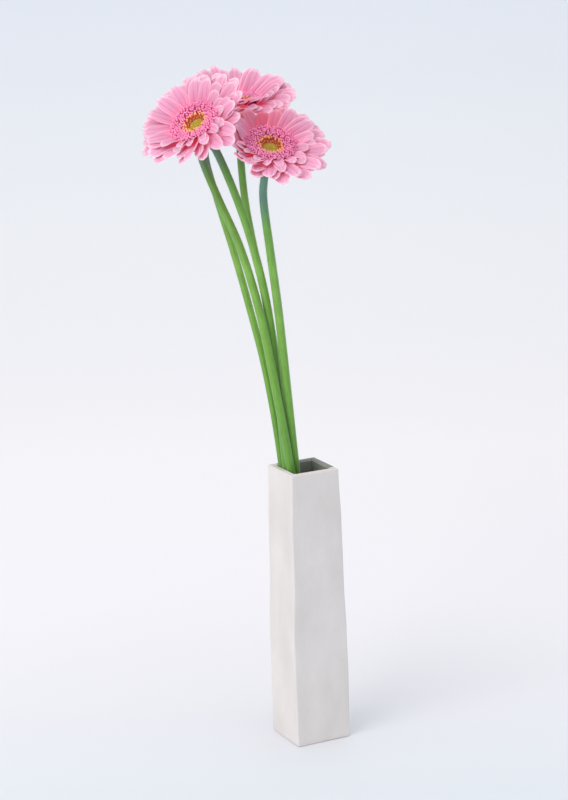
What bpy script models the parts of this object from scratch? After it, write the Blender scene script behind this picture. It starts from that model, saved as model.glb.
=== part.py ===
# Five gerberas standing in a tall, narrow, hand-built ceramic vase.
# Metres, +Z up. The origin is the centre of the vase's base, on the surface it stands on.
import bpy
import bmesh
from math import cos, pi, radians, sin
from mathutils import Matrix, Vector
from random import Random

MM = 0.001
FIT = 0.3 * MM               # clearance between neighbouring pieces
MERGE = 0.02 * MM

# Vase: a square slab-built tube whose walls bow a little, each in its own way
VASE_HEIGHT = 260 * MM
VASE_LEVELS = 8
VASE_FLOOR = 8 * MM
VASE_WALL = 6.0 * MM
VASE_CORNER = 2.6 * MM
# half widths from base to mouth, at even heights
WALL_LEFT = [27.2 * MM, 27.2 * MM, 27.6 * MM, 25.3 * MM, 25.2 * MM, 24.0 * MM]
WALL_RIGHT = [27.0 * MM, 27.9 * MM, 27.6 * MM, 26.2 * MM, 25.6 * MM, 24.0 * MM]
WALL_FRONT = [26.8 * MM, 26.2 * MM, 25.5 * MM, 25.0 * MM, 24.4 * MM, 24.0 * MM]
WALL_BACK = [26.2 * MM, 25.4 * MM, 25.0 * MM, 25.8 * MM, 25.0 * MM, 24.0 * MM]
WATER_LEVEL = 95 * MM

# Stems: round, a little thinner towards the flower
STEM_POINTS = 21
STEM_TOP_RADIUS = 3.2 * MM

# Flower head, in its own frame: +Z is its axis, 0 the middle of the disc's top
NECK_DEPTH = 22 * MM         # from the disc down to where the stem meets the calyx
PLATE_LEVEL = -9.2 * MM      # flat top of the receptacle
BOSS_RADIUS = 6.9 * MM
BOSS_LEVEL = -4.9 * MM
HUB_INNER = 7.45 * MM        # ring that the petals grow from
HUB_OUTER = 10.5 * MM
HUB_TOP = -4.6 * MM
DISC_RADIUS = 22 * MM
FLORET_LENGTH = 2.4 * MM
FLORET_LEAN = 1.06           # how far out a floret's tip stands, as a share of its own radius
EYE_RADIUS = 7.0 * MM
EYE_POINT = 1.1 * MM
ROOT_RADIUS = 8.8 * MM       # petals start inside the hub
BEND_START = 18 * MM         # past the disc they bend from their root's angle to their tip's
BEND_SPAN = 14 * MM
BLADE_THICKNESS = 1.2 * MM
BLADE_STEPS = 50             # short straight steps that a petal's midline is walked in
GAP_SHARPNESS = 12           # how narrow the gap in a head's outline is
NEAR_MIDDLE = 0.7            # how the near side passes into the far side
NEAR_SLOPE = 0.9
SHINGLE = 6                  # degrees that each petal is rolled, to lie over its neighbour

# Calyx bowl below the plate, as radius and height down to the neck
BOWL = [(11.0 * MM, PLATE_LEVEL), (11.4 * MM, -10.4 * MM), (9.4 * MM, -14.4 * MM),
        (6.4 * MM, -18.4 * MM), (3.9 * MM, -22.5 * MM)]
BOWL_END = -22.8 * MM
BOWL_SIDES = 14
# bract rows: height of the band that they grow on, tip's distance as a share of the band's, tip's height
BRACT_ROWS = [(-12.4 * MM, 1.40, -9.9 * MM), (-16.4 * MM, 1.72, -12.6 * MM)]

# Petal rows, outermost first; reach is a share of the head's, angles are above its plane.
# On the near side the inner rows are shorter and stand higher than on the far side.
PETAL_ROWS = [
    dict(count=13, root=-8.0 * MM, root_angle=15, reach=1.00, tip_angle=13, far_reach=1.00, far_tip_angle=13.5,
         width=14.5 * MM),
    dict(count=13, root=-6.9 * MM, root_angle=19, reach=0.96, tip_angle=18, far_reach=0.98, far_tip_angle=14.5,
         width=13.5 * MM),
    dict(count=9, root=-5.9 * MM, root_angle=23, reach=0.74, tip_angle=27, far_reach=0.96, far_tip_angle=15,
         width=11.0 * MM),
]
# share of the petal's length, with its width and thickness there
BLADE_STATIONS = [(0.0, 0.20, 1.0), (0.42, 0.78, 1.0), (0.78, 1.0, 0.9), (1.0, 0.50, 0.6)]

# The side of the vase that faces forward-right is -Y; SIGHT_RIGHT is a head's right seen from the front
FRONT_TURN = 26.3
SIGHT_RIGHT = (cos(radians(FRONT_TURN)), -sin(radians(FRONT_TURN)), 0)

# disc: middle of the flower's disc. lift: how many degrees higher the petals stand, at eight
# directions round the head, from its right by its far side. longest: the direction in degrees
# where the petals are longest, and by what share. shortest: the same for a narrow gap in the
# outline. near: the direction of the near side. route: the stem's way up from the vase's floor.
# Places in mm.
GERBERAS = [
    dict(place="front_left", disc=(-98.1, -7.3, 585.4), axis=(-0.618, -0.279, 0.735),
         reach=55 * MM, lift=(10, 1, 8, 9, -3, 7, 5, -18), longest=(310, 0.05), shortest=(340, 0.2),
         foot_radius=3.8 * MM, turn=7, near=315, seed=11,
         route=[(1.5, -2.5, 5), (-6.2, 1.8, 130), (-13.9, 6.2, 258), (-19.0, 9.4, 340),
                (-26.0, 9.4, 408), (-39.8, 5.2, 465), (-56.7, 0.1, 512), (-75.5, -3.2, 555)]),
    dict(place="front_right", disc=(-39.9, -36.1, 563.4), axis=(-0.064, -0.534, 0.843),
         reach=53 * MM, lift=(2, 7, 13, 10, 40, 20, -3, -1), longest=(290, 0.06), shortest=(105, 0.18),
         foot_radius=3.9 * MM, turn=4, near=272, seed=23,
         route=[(10.3, -5.5, 5), (3.0, -0.6, 130), (-6.5, 2.7, 258), (-13.6, 1.7, 340),
                (-20.8, -1.2, 408), (-29.8, -6.5, 466), (-38.3, -14.2, 511), (-39.8, -20.0, 531)]),
    dict(place="top", disc=(-28.6, 47.6, 594.2), axis=(0.016, -0.080, 0.997),
         reach=57 * MM, lift=(8, 17, 26, 30, 22, 2, -22, -8), longest=(150, 0.04), shortest=(270, 0.2),
         foot_radius=3.4 * MM, turn=-4, near=270, seed=37,
         route=[(14.5, 6.5, 5), (4.4, 9.5, 130), (-5.8, 12.0, 258), (-11.6, 20.2, 342),
                (-17.2, 29.4, 410), (-23.4, 38.3, 458), (-28.0, 45.1, 504), (-29.2, 49.2, 550)]),
    dict(place="back_left", disc=(-54.4, 93.7, 565.4), axis=(-0.145, 0.429, 0.891),
         reach=40.5 * MM, lift=(3, 2, 1, 3, 5, 6, 5, 4), longest=(100, 0.03), shortest=(0, 0),
         foot_radius=3.8 * MM, turn=12, near=90, seed=41,
         route=[(13.4, -15.0, 5), (0.0, -9.0, 130), (-13.7, -2.3, 258), (-24.8, 2.0, 338),
                (-34.6, 8.6, 407), (-43.5, 24.9, 463), (-51.4, 49.1, 504), (-54.8, 74.0, 537)]),
    dict(place="far_back", disc=(-15.8, 139.1, 576.4), axis=(0.156, 0.202, 0.967),
         reach=42 * MM, lift=(2, -2, -5, -5, 2, 7, 8, 6), longest=(70, 0.03), shortest=(0, 0),
         foot_radius=3.3 * MM, turn=5, near=60, seed=59,
         route=[(5.5, 9.5, 5), (-4.8, 12.2, 130), (-14.3, 14.3, 258), (-18.0, 33.0, 342),
                (-23.3, 55.8, 407), (-27.6, 76.0, 455), (-31.0, 97.5, 497), (-29.8, 122.9, 535)]),
]


def material(name, color, roughness):
    made = bpy.data.materials.new(name)
    made.use_nodes = True
    shader = made.node_tree.nodes["Principled BSDF"]
    shader.inputs["Base Color"].default_value = (*color, 1)
    shader.inputs["Roughness"].default_value = roughness
    shader.inputs["Metallic"].default_value = 0
    return made


def add_object(name, mesh, collection, finish=None, frame=None):
    made = bpy.data.objects.new(name, mesh)
    collection.objects.link(made)
    if finish:
        mesh.materials.append(finish)
    if frame:
        made.matrix_world = frame
    return made


def mesh_from(bm, name):
    # turns a bmesh into a mesh whose faces point outwards
    bmesh.ops.recalc_face_normals(bm, faces=bm.faces)
    mesh = bpy.data.meshes.new(name)
    bm.to_mesh(mesh)
    bm.free()
    return mesh


def evaluated_mesh(source):
    # the object's mesh with its modifiers or curve bevel applied, in its own space
    bpy.context.view_layer.update()
    graph = bpy.context.evaluated_depsgraph_get()
    return bpy.data.meshes.new_from_object(source.evaluated_get(graph))


def drop(source):
    data = source.data
    bpy.data.objects.remove(source)
    if isinstance(data, bpy.types.Curve):
        bpy.data.curves.remove(data)


def turned(name, profile, steps):
    # profile points (radius, height), closed or ending on the axis, spun about Z by a Screw
    bm = bmesh.new()
    points = [bm.verts.new((r, 0, z)) for r, z in profile]
    for a, b in zip(points, points[1:]):
        bm.edges.new((a, b))
    if profile[0][0] > 0:
        bm.edges.new((points[-1], points[0]))
    mesh = bpy.data.meshes.new(name)
    bm.to_mesh(mesh)
    bm.free()
    lathe = add_object(name + "_lathe", mesh, cutters)
    screw = lathe.modifiers.new("Screw", "SCREW")
    screw.steps = steps
    screw.render_steps = steps
    screw.use_merge_vertices = True
    screw.merge_threshold = MERGE
    solid = bmesh.new()
    solid.from_mesh(evaluated_mesh(lathe))
    drop(lathe)
    bmesh.ops.remove_doubles(solid, verts=solid.verts, dist=MERGE)
    return solid


def raise_spikes(bm, chosen, tip):
    # each chosen face becomes a four-sided spike whose point tip(face centre) gives
    for face in chosen:
        centre = face.calc_center_median()
        poked = bmesh.ops.poke(bm, faces=[face])
        poked["verts"][0].co = tip(centre)


def curve_value(values, share):
    # a smooth curve through evenly spaced values
    place = share * (len(values) - 1)
    i = min(int(place), len(values) - 2)
    t = place - i
    t = t * t * (3 - 2 * t)
    return values[i] * (1 - t) + values[i + 1] * t


def smooth_route(points, count):
    # count points along a Catmull-Rom curve through the route's own points
    points = [Vector(p) for p in points]
    ends = [points[0] * 2 - points[1], *points, points[-1] * 2 - points[-2]]
    route = []
    spans = len(points) - 1
    for k in range(count):
        place = k * spans / (count - 1)
        i = min(int(place), spans - 1)
        t = place - i
        a, b, c, d = ends[i:i + 4]
        route.append(0.5 * (2 * b + (c - a) * t + (2 * a - 5 * b + 4 * c - d) * t ** 2
                            + (3 * b - a - 3 * c + d) * t ** 3))
    return route


def tube_mesh(name, route, radii):
    # round tube along a route, with its end caps welded on
    curve = bpy.data.curves.new(name, "CURVE")
    curve.dimensions = "3D"
    curve.bevel_depth = 1
    curve.bevel_resolution = 2
    curve.use_fill_caps = True
    spline = curve.splines.new("POLY")
    spline.points.add(len(route) - 1)
    for point, place, radius in zip(spline.points, route, radii):
        point.co = (*place, 1)
        point.radius = radius
    guide = add_object(name, curve, cutters)
    bm = bmesh.new()
    bm.from_mesh(evaluated_mesh(guide))
    drop(guide)
    bmesh.ops.remove_doubles(bm, verts=bm.verts, dist=MERGE)
    return bm


def boolean(target, operation, tool=None, group=None):
    cut = target.modifiers.new("Boolean", "BOOLEAN")
    cut.operation = operation
    cut.solver = "MANIFOLD" if group else "EXACT"
    if group:
        cut.operand_type = "COLLECTION"
        cut.collection = group
    else:
        cut.object = tool
    mesh = evaluated_mesh(target)
    target.modifiers.remove(cut)
    target.data = mesh
    for piece in list(group.objects) if group else [tool]:
        bpy.data.objects.remove(piece)


def wall_corner(x, y, share, inset):
    # the corner of the vase's outline on the side of x and y, at a share of its height, moved in by inset
    across = curve_value(WALL_RIGHT, share) - inset if x > 0 else inset - curve_value(WALL_LEFT, share)
    along = curve_value(WALL_BACK, share) - inset if y > 0 else inset - curve_value(WALL_FRONT, share)
    return Vector((across, along, share * VASE_HEIGHT))


def square_tube_block(levels, low, high, inset):
    # a block that follows the vase's outline between two heights
    bm = bmesh.new()
    bmesh.ops.create_cube(bm, size=1)
    upright = [e for e in bm.edges if abs(e.verts[0].co.z - e.verts[1].co.z) > 0.5]
    bmesh.ops.subdivide_edges(bm, edges=upright, cuts=levels - 1, use_grid_fill=True)
    for v in bm.verts:
        height = low + (v.co.z + 0.5) * (high - low)
        v.co = wall_corner(v.co.x, v.co.y, height / VASE_HEIGHT, inset)
    return bm


def add_bevel(piece, width, segments):
    bevel = piece.modifiers.new("Bevel", "BEVEL")
    bevel.width = width
    bevel.segments = segments
    bevel.limit_method = "ANGLE"
    bevel.angle_limit = radians(50)


def build_vase():
    bm = square_tube_block(VASE_LEVELS, 0, VASE_HEIGHT, 0)
    mouth = max(bm.faces, key=lambda f: f.calc_center_median().z)
    bmesh.ops.inset_individual(bm, faces=[mouth], thickness=VASE_WALL)
    drops = [VASE_HEIGHT + (VASE_FLOOR - VASE_HEIGHT) * k / VASE_LEVELS for k in range(1, VASE_LEVELS + 1)]
    for height in drops:
        mouth = bmesh.ops.extrude_discrete_faces(bm, faces=[mouth])["faces"][0]
        for v in mouth.verts:
            v.co = wall_corner(v.co.x, v.co.y, height / VASE_HEIGHT, VASE_WALL)
    vase = add_object("vase", mesh_from(bm, "vase"), parts, CERAMIC)
    add_bevel(vase, VASE_CORNER, 2)
    return vase


def stem_radii(gerbera, extra=0.0):
    # full width in the vase, tapering over the upper half
    radii = []
    for k in range(STEM_POINTS):
        share = max(0, k / (STEM_POINTS - 1) - 0.45) / 0.55
        radii.append(gerbera["foot_radius"] * (1 - share) + STEM_TOP_RADIUS * share + extra)
    return radii


def head_frame(gerbera):
    # +Z along the head's axis, +X to its right as seen from the front
    z = Vector(gerbera["axis"]).normalized()
    right = Vector(SIGHT_RIGHT)
    x = (right - z * right.dot(z)).normalized()
    y = z.cross(x)
    frame = Matrix((x, y, z)).transposed().to_4x4()
    frame.translation = Vector(gerbera["disc"]) * MM
    return frame


def stem_route(gerbera):
    frame = head_frame(gerbera)
    neck = frame @ Vector((0, 0, -NECK_DEPTH))
    inside = frame @ Vector((0, 0, PLATE_LEVEL - 4 * MM))
    return smooth_route([Vector(p) * MM for p in gerbera["route"]] + [neck, inside], STEM_POINTS)


def build_water():
    bm = square_tube_block(4, VASE_FLOOR + FIT, WATER_LEVEL, VASE_WALL + FIT)
    water = add_object("water", mesh_from(bm, "water"), parts, WATER)
    add_bevel(water, VASE_CORNER + 2 * FIT, 2)
    water.data = evaluated_mesh(water)
    water.modifiers.clear()
    for gerbera in GERBERAS:
        name = gerbera["place"] + "_hole"
        tube = tube_mesh(name, stem_route(gerbera), stem_radii(gerbera, FIT))
        cutter = add_object(name, mesh_from(tube, name), cutters)
        boolean(water, "DIFFERENCE", tool=cutter)
    return water


def build_stem(gerbera):
    # stem, calyx bowl, its pointed bracts and the receptacle's flat plate: all one green body
    name = gerbera["place"] + "_stem"
    tube = tube_mesh(name, stem_route(gerbera), stem_radii(gerbera))
    bmesh.ops.bisect_plane(tube, geom=tube.verts[:] + tube.edges[:] + tube.faces[:],
                           plane_co=(0, 0, VASE_FLOOR + FIT), plane_no=(0, 0, 1), clear_inner=True)
    bmesh.ops.holes_fill(tube, edges=[e for e in tube.edges if e.is_boundary])
    stem = add_object(name, mesh_from(tube, name), parts, GREEN)
    boss = [(0, BOSS_LEVEL), (BOSS_RADIUS, BOSS_LEVEL), (BOSS_RADIUS, PLATE_LEVEL)]
    bowl = turned(name + "_bowl", boss + BOWL + [(0, BOWL_END)], BOWL_SIDES)
    bands = [[f for f in bowl.faces if abs(f.calc_center_median().z - row[0]) < 1 * MM] for row in BRACT_ROWS]
    for band, (_, spread, tip_height) in zip(bands, BRACT_ROWS):
        raise_spikes(bowl, band, lambda c: Vector((c.x * spread, c.y * spread, tip_height)))
    tool = add_object(name + "_bowl", mesh_from(bowl, name), cutters, frame=head_frame(gerbera))
    boolean(stem, "UNION", tool=tool)
    return stem


def petal_blade(row, reach, turn, tip_angle, width):
    # one tapering, gently curved blade with a diamond section, in the head's frame
    step = (reach - ROOT_RADIUS) / BLADE_STEPS
    radius, height, angle = ROOT_RADIUS, row["root"], row["root_angle"]
    line = [(radius, height, angle)]
    for _ in range(BLADE_STEPS):
        bend = min(1, max(0, (radius - BEND_START) / BEND_SPAN))
        angle = row["root_angle"] * (1 - bend) + tip_angle * bend
        radius += step * cos(radians(angle))
        height += step * sin(radians(angle))
        line.append((radius, height, angle))
    bm = bmesh.new()
    rings = []
    for share, wide, thick in BLADE_STATIONS:
        radius, height, angle = line[round(share * BLADE_STEPS)]
        half = width * wide / 2
        rise = BLADE_THICKNESS * thick / 2
        section = [Vector((0, -half, rise / 2)), Vector((0, 0, -rise)),
                   Vector((0, half, rise / 2)), Vector((0, 0, rise))]
        pitch = Matrix.Rotation(-radians(angle), 4, "Y")
        roll = Matrix.Rotation(radians(SHINGLE) * min(1, 2 * share), 4, "X")
        place = Matrix.Translation((radius, 0, height)) @ pitch @ roll
        rings.append([bm.verts.new(place @ p) for p in section])
    for low, high in zip(rings, rings[1:]):
        for k in range(4):
            bm.faces.new((low[k], low[(k + 1) % 4], high[(k + 1) % 4], high[k]))
    bm.faces.new(rings[0][::-1])
    bm.faces.new(rings[-1])
    bmesh.ops.rotate(bm, verts=bm.verts, cent=(0, 0, 0), matrix=Matrix.Rotation(turn, 3, "Z"))
    return bm


def petal_lift(gerbera, turn):
    # the lift between the two nearest of the eight directions
    place = (turn / (2 * pi) % 1) * 8
    i = int(place)
    t = (1 - cos(pi * (place - i))) / 2
    return gerbera["lift"][i] * (1 - t) + gerbera["lift"][(i + 1) % 8] * t


def petal_reach(gerbera, turn):
    direction, share = gerbera["longest"]
    dip, depth = gerbera["shortest"]
    close = max(0, cos(turn - radians(dip))) ** GAP_SHARPNESS
    return gerbera["reach"] * (1 + share * cos(turn - radians(direction)) - depth * close)


def near_share(gerbera, turn):
    # 1 on the head's near side, 0 on its far side
    t = min(1, max(0, NEAR_MIDDLE + NEAR_SLOPE * cos(turn - radians(gerbera["near"]))))
    return t * t * (3 - 2 * t)


def build_petals(gerbera):
    # rows of petals fused to the ring that they grow from
    name = gerbera["place"] + "_petals"
    draw = Random(gerbera["seed"])
    frame = head_frame(gerbera)
    floor = PLATE_LEVEL + FIT
    ring = turned(name, [(HUB_INNER, HUB_TOP), (HUB_OUTER, HUB_TOP), (HUB_OUTER, floor),
                         (HUB_INNER, floor)], 13)
    petals = add_object(name, mesh_from(ring, name), parts, PINK, frame)
    blades = bpy.data.collections.new(name + "_blades")
    bpy.context.scene.collection.children.link(blades)
    for r, row in enumerate(PETAL_ROWS):
        for k in range(row["count"]):
            turn = (k + 0.5 * r) * 2 * pi / row["count"] + radians(gerbera["turn"] + draw.uniform(-2.5, 2.5))
            near = near_share(gerbera, turn)
            share = row["reach"] * near + row["far_reach"] * (1 - near)
            reach = petal_reach(gerbera, turn) * share * draw.uniform(0.96, 1.02)
            tip = row["tip_angle"] * near + row["far_tip_angle"] * (1 - near)
            tip += petal_lift(gerbera, turn) + draw.uniform(-3.0, 3.0)
            bm = petal_blade(row, reach, turn, tip, row["width"] * draw.uniform(0.9, 1.0))
            add_object(f"{name}_{r}_{k}", mesh_from(bm, name), blades, frame=frame)
    boolean(petals, "UNION", group=blades)
    bpy.data.collections.remove(blades)
    return petals


def build_florets(gerbera):
    # cushion of small tube florets round the eye, each raised as a spike that leans outwards
    name = gerbera["place"] + "_florets"
    inner = EYE_RADIUS + 0.4 * MM
    profile = [(inner, -2.2 * MM), (10.2 * MM, -0.6 * MM), (14.0 * MM, 0.8 * MM), (18.2 * MM, 1.6 * MM),
               (DISC_RADIUS, 1.8 * MM), (DISC_RADIUS - 0.6 * MM, 1.0 * MM), (10.0 * MM, HUB_TOP + FIT),
               (inner, HUB_TOP + FIT)]
    bm = turned(name, profile, 20)
    top = [f for f in bm.faces if f.normal.z > 0.05 and f.calc_center_median().z > -1.5 * MM]
    raise_spikes(bm, top, lambda c: Vector((c.x * FLORET_LEAN, c.y * FLORET_LEAN, c.z + FLORET_LENGTH)))
    return add_object(name, mesh_from(bm, name), parts, MAGENTA, head_frame(gerbera))


def build_eye(gerbera):
    # the unopened florets in the middle, a low dome of small points
    name = gerbera["place"] + "_eye"
    seat = BOSS_LEVEL + FIT
    profile = [(0, -2.4 * MM), (2.4 * MM, -2.5 * MM), (4.7 * MM, -2.8 * MM), (EYE_RADIUS, -3.4 * MM),
               (EYE_RADIUS - 0.3 * MM, seat), (0, seat)]
    bm = turned(name, profile, 12)
    top = [f for f in bm.faces if f.normal.z > 0.3 and len(f.verts) == 4]
    raise_spikes(bm, top, lambda c: c + Vector((0, 0, EYE_POINT)))
    return add_object(name, mesh_from(bm, name), parts, OLIVE, head_frame(gerbera))


for old in list(bpy.data.objects):
    bpy.data.objects.remove(old)

parts = bpy.data.collections.new("gerberas_in_a_vase")
cutters = bpy.data.collections.new("cutters")
for group in (parts, cutters):
    bpy.context.scene.collection.children.link(group)

CERAMIC = material("matte white ceramic", (0.80, 0.77, 0.76), 0.75)
WATER = material("water", (0.75, 0.85, 0.85), 0.05)
GREEN = material("green stem", (0.16, 0.36, 0.06), 0.5)
PINK = material("pink petal", (0.90, 0.38, 0.58), 0.55)
MAGENTA = material("deep pink floret", (0.80, 0.16, 0.38), 0.55)
OLIVE = material("yellow-green eye", (0.40, 0.34, 0.05), 0.6)

build_vase()
build_water()
for flower in GERBERAS:
    build_stem(flower)
    build_petals(flower)
    build_florets(flower)
    build_eye(flower)

for piece in parts.objects:
    piece.data.shade_smooth()
    piece.data.set_sharp_from_angle(angle=radians(35))
bpy.data.collections.remove(cutters)
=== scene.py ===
# Five pink gerberas in a tall, hand-built square vase: petals, florets, stems and clay.
import bpy
import bmesh
from math import cos, pi, radians, sin, sqrt
from mathutils import Matrix, Vector, noise
from random import Random


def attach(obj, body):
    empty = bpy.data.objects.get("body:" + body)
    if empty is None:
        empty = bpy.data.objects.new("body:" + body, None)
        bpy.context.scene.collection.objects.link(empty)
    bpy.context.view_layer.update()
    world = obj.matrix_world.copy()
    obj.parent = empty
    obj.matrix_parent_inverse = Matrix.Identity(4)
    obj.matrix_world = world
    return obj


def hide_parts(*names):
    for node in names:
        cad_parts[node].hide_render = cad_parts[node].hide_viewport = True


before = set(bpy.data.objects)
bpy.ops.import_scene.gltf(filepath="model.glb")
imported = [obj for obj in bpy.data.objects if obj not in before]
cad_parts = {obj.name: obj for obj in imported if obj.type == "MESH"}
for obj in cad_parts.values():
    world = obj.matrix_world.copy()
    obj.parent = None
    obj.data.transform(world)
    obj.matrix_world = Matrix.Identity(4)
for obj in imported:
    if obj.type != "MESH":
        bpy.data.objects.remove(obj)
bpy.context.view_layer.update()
mm = 0.001

# disc: middle of the flower's disc, in mm. lift: how many degrees higher the petals stand, at
# eight directions round the head. longest: direction in degrees where they are longest, and by
# what share. shortest: the narrow dip where they are shorter, likewise. near: the direction where
# the petals lie down; cupped: how many degrees the short inner ones stand up there. rolled: how
# many degrees the petals on the right and left turn their upper faces to the front. under: the
# direction in which they lie under another flower's petals, and how strongly painted coral bounce light
# tints them.
# cool: share of the stem's height where painted shade under the flower turns it bluish. route: the stem's
# way up, in mm.
gerberas = [
    dict(place="front_left", cool=0.975, disc=(-98.1, -7.3, 585.4), axis=(-0.618, -0.279, 0.735),
         reach=55, lift=(10, 1, 8, 9, -3, 7, 5, -18), longest=(310, 0.05), shortest=(340, 0.2),
         footRadius=3.8, turn=7, near=315, cupped=0, rolled=9, under=(0, 0), seed=11,
         route=[(1.5, -2.5, 5), (-6.2, 1.8, 130), (-13.9, 6.2, 258), (-19.0, 9.4, 340),
                (-26.0, 9.4, 408), (-39.8, 5.2, 465), (-56.7, 0.1, 512), (-75.5, -3.2, 555)]),
    dict(place="front_right", cool=0.925, disc=(-39.9, -36.1, 563.4), axis=(-0.064, -0.534, 0.843),
         reach=53, lift=(2, 7, 13, 10, 40, 20, -3, -1), longest=(290, 0.06), shortest=(105, 0.18),
         footRadius=3.9, turn=4, near=272, cupped=0, rolled=10, under=(104, 0.8), seed=23,
         route=[(10.3, -5.5, 5), (3.0, -0.6, 130), (-6.5, 2.7, 258), (-13.6, 1.7, 340),
                (-20.8, -1.2, 408), (-29.8, -6.5, 466), (-38.3, -14.2, 511), (-39.8, -20.0, 531)]),
    dict(place="top", cool=0.985, disc=(-28.6, 47.6, 594.2), axis=(0.016, -0.080, 0.997),
         reach=57, lift=(8, 17, 26, 27, 22, 2, -22, -8), longest=(150, 0.04), shortest=(270, 0.2),
         footRadius=3.4, turn=-4, near=270, cupped=34, rolled=26, under=(0, 0), seed=37,
         route=[(14.5, 6.5, 5), (4.4, 9.5, 130), (-5.8, 12.0, 258), (-11.6, 20.2, 342),
                (-17.2, 29.4, 410), (-23.4, 38.3, 458), (-28.0, 45.1, 504), (-29.2, 49.2, 550)]),
    dict(place="back_left", cool=0.98, disc=(-54.4, 93.7, 565.4), axis=(-0.145, 0.429, 0.891),
         reach=40.5, lift=(3, 2, 1, 3, 5, 6, 5, 4), longest=(100, 0.03), shortest=(0, 0),
         footRadius=3.8, turn=12, near=90, cupped=0, rolled=0, under=(0, 0), seed=41,
         route=[(13.4, -15.0, 5), (0.0, -9.0, 130), (-13.7, -2.3, 258), (-24.8, 2.0, 338),
                (-34.6, 8.6, 407), (-43.5, 24.9, 463), (-51.4, 49.1, 504), (-54.8, 74.0, 537)]),
    dict(place="far_back", cool=0.93, disc=(-15.8, 139.1, 576.4), axis=(0.156, 0.202, 0.967),
         reach=42, lift=(2, -2, -5, -5, 2, 7, 8, 6), longest=(70, 0.03), shortest=(0, 0),
         footRadius=3.3, turn=5, near=60, cupped=0, rolled=0, under=(0, 0), seed=59,
         route=[(5.5, 9.5, 5), (-4.8, 12.2, 130), (-14.3, 14.3, 258), (-18.0, 33.0, 342),
                (-23.3, 55.8, 407), (-27.6, 76.0, 455), (-31.0, 97.5, 497), (-29.8, 122.9, 535)]),
]
frontTurn = 26.3  # degrees that the vase's front right side is turned from the camera
sightRight = Vector((cos(radians(frontTurn)), -sin(radians(frontTurn)), 0))


# Small helpers

def hexColour(code):
    # sRGB hex to linear RGBA
    channels = [int(code[i:i + 2], 16) / 255 for i in (1, 3, 5)]
    return (*[c / 12.92 if c <= 0.04045 else ((c + 0.055) / 1.055) ** 2.4 for c in channels], 1)


def add(tree, kind, inputs=None, stops=(), **settings):
    # a node with its settings, links, values and ramp colours; a node as a value gives its first output
    made = tree.nodes.new("ShaderNode" + kind)
    for key, value in settings.items():
        setattr(made, key, value)
    for socket, value in (inputs or {}).items():
        if isinstance(value, bpy.types.Node):
            value = next(output for output in value.outputs if output.enabled)
        if isinstance(value, bpy.types.NodeSocket):
            tree.links.new(value, made.inputs[socket])
        else:
            made.inputs[socket].default_value = value
    for k, (place, code) in enumerate(stops):
        elements = made.color_ramp.elements
        element = elements[k] if k < 2 else elements.new(place)
        element.position = place
        element.color = hexColour(code)
    return made


def newMaterial(name, **fixed):
    # an empty Principled material and its tree
    made = bpy.data.materials.new(name)
    made.use_nodes = True
    shader = made.node_tree.nodes["Principled BSDF"]
    for socket, value in fixed.items():
        shader.inputs[socket.replace("_", " ")].default_value = value
    return made, made.node_tree, shader


def finishPiece(bm, name, materials, slot, *replaced):
    # one finished piece on the body root, and the solids that it stands for; slot is not used
    mesh = bpy.data.meshes.new(name)
    bm.to_mesh(mesh)
    bm.free()
    for made in materials:
        mesh.materials.append(made)
    mesh.shade_smooth()
    piece = bpy.data.objects.new(name, mesh)
    bpy.context.scene.collection.objects.link(piece)
    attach(piece, "root")
    if replaced:
        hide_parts(*replaced)
    return piece


def headFrame(gerbera):
    # +Z along the head's axis, +X to its right as seen from the front; in mm
    z = Vector(gerbera["axis"]).normalized()
    x = (sightRight - z * sightRight.dot(z)).normalized()
    made = Matrix((x, z.cross(x), z)).transposed().to_4x4()
    made.translation = Vector(gerbera["disc"])
    return made


def smooth(t):
    t = min(1, max(0, t))
    return t * t * (3 - 2 * t)


def slabMesh(along, across):
    # a flat closed slab, cut into even strips both ways, that petals and bracts are bent from
    bm = bmesh.new()
    bmesh.ops.create_cube(bm, size=1)
    for axis, cuts in ((0, along - 1), (1, across - 1)):
        edges = [e for e in bm.edges if abs(e.verts[0].co[axis] - e.verts[1].co[axis]) > 0.9]
        bmesh.ops.subdivide_edges(bm, edges=edges, cuts=cuts, use_grid_fill=True)
    mesh = bpy.data.meshes.new("slab")
    bm.to_mesh(mesh)
    bm.free()
    return mesh


def turned(profile, steps):
    # a closed body turned from its profile of radius and height
    bm = bmesh.new()
    points = [bm.verts.new((r, 0, z)) for r, z in profile]
    edges = [bm.edges.new(pair) for pair in zip(points, points[1:])]
    bmesh.ops.spin(bm, geom=points + edges, cent=(0, 0, 0), axis=(0, 0, 1), angle=2 * pi, steps=steps,
                   use_merge=True, dvec=(0, 0, 0))
    bmesh.ops.remove_doubles(bm, verts=bm.verts, dist=0.001)
    bmesh.ops.recalc_face_normals(bm, faces=bm.faces)
    mesh = bpy.data.meshes.new("turned")
    bm.to_mesh(mesh)
    bm.free()
    return mesh


def join(bm, mesh, material):
    # copies a mesh in and returns its vertices
    first, firstFace = len(bm.verts), len(bm.faces)
    bm.from_mesh(mesh)
    bm.verts.ensure_lookup_table()
    bm.faces.ensure_lookup_table()
    for face in bm.faces[firstFace:]:
        face.material_index = material
    return bm.verts[first:]


# Materials

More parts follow.
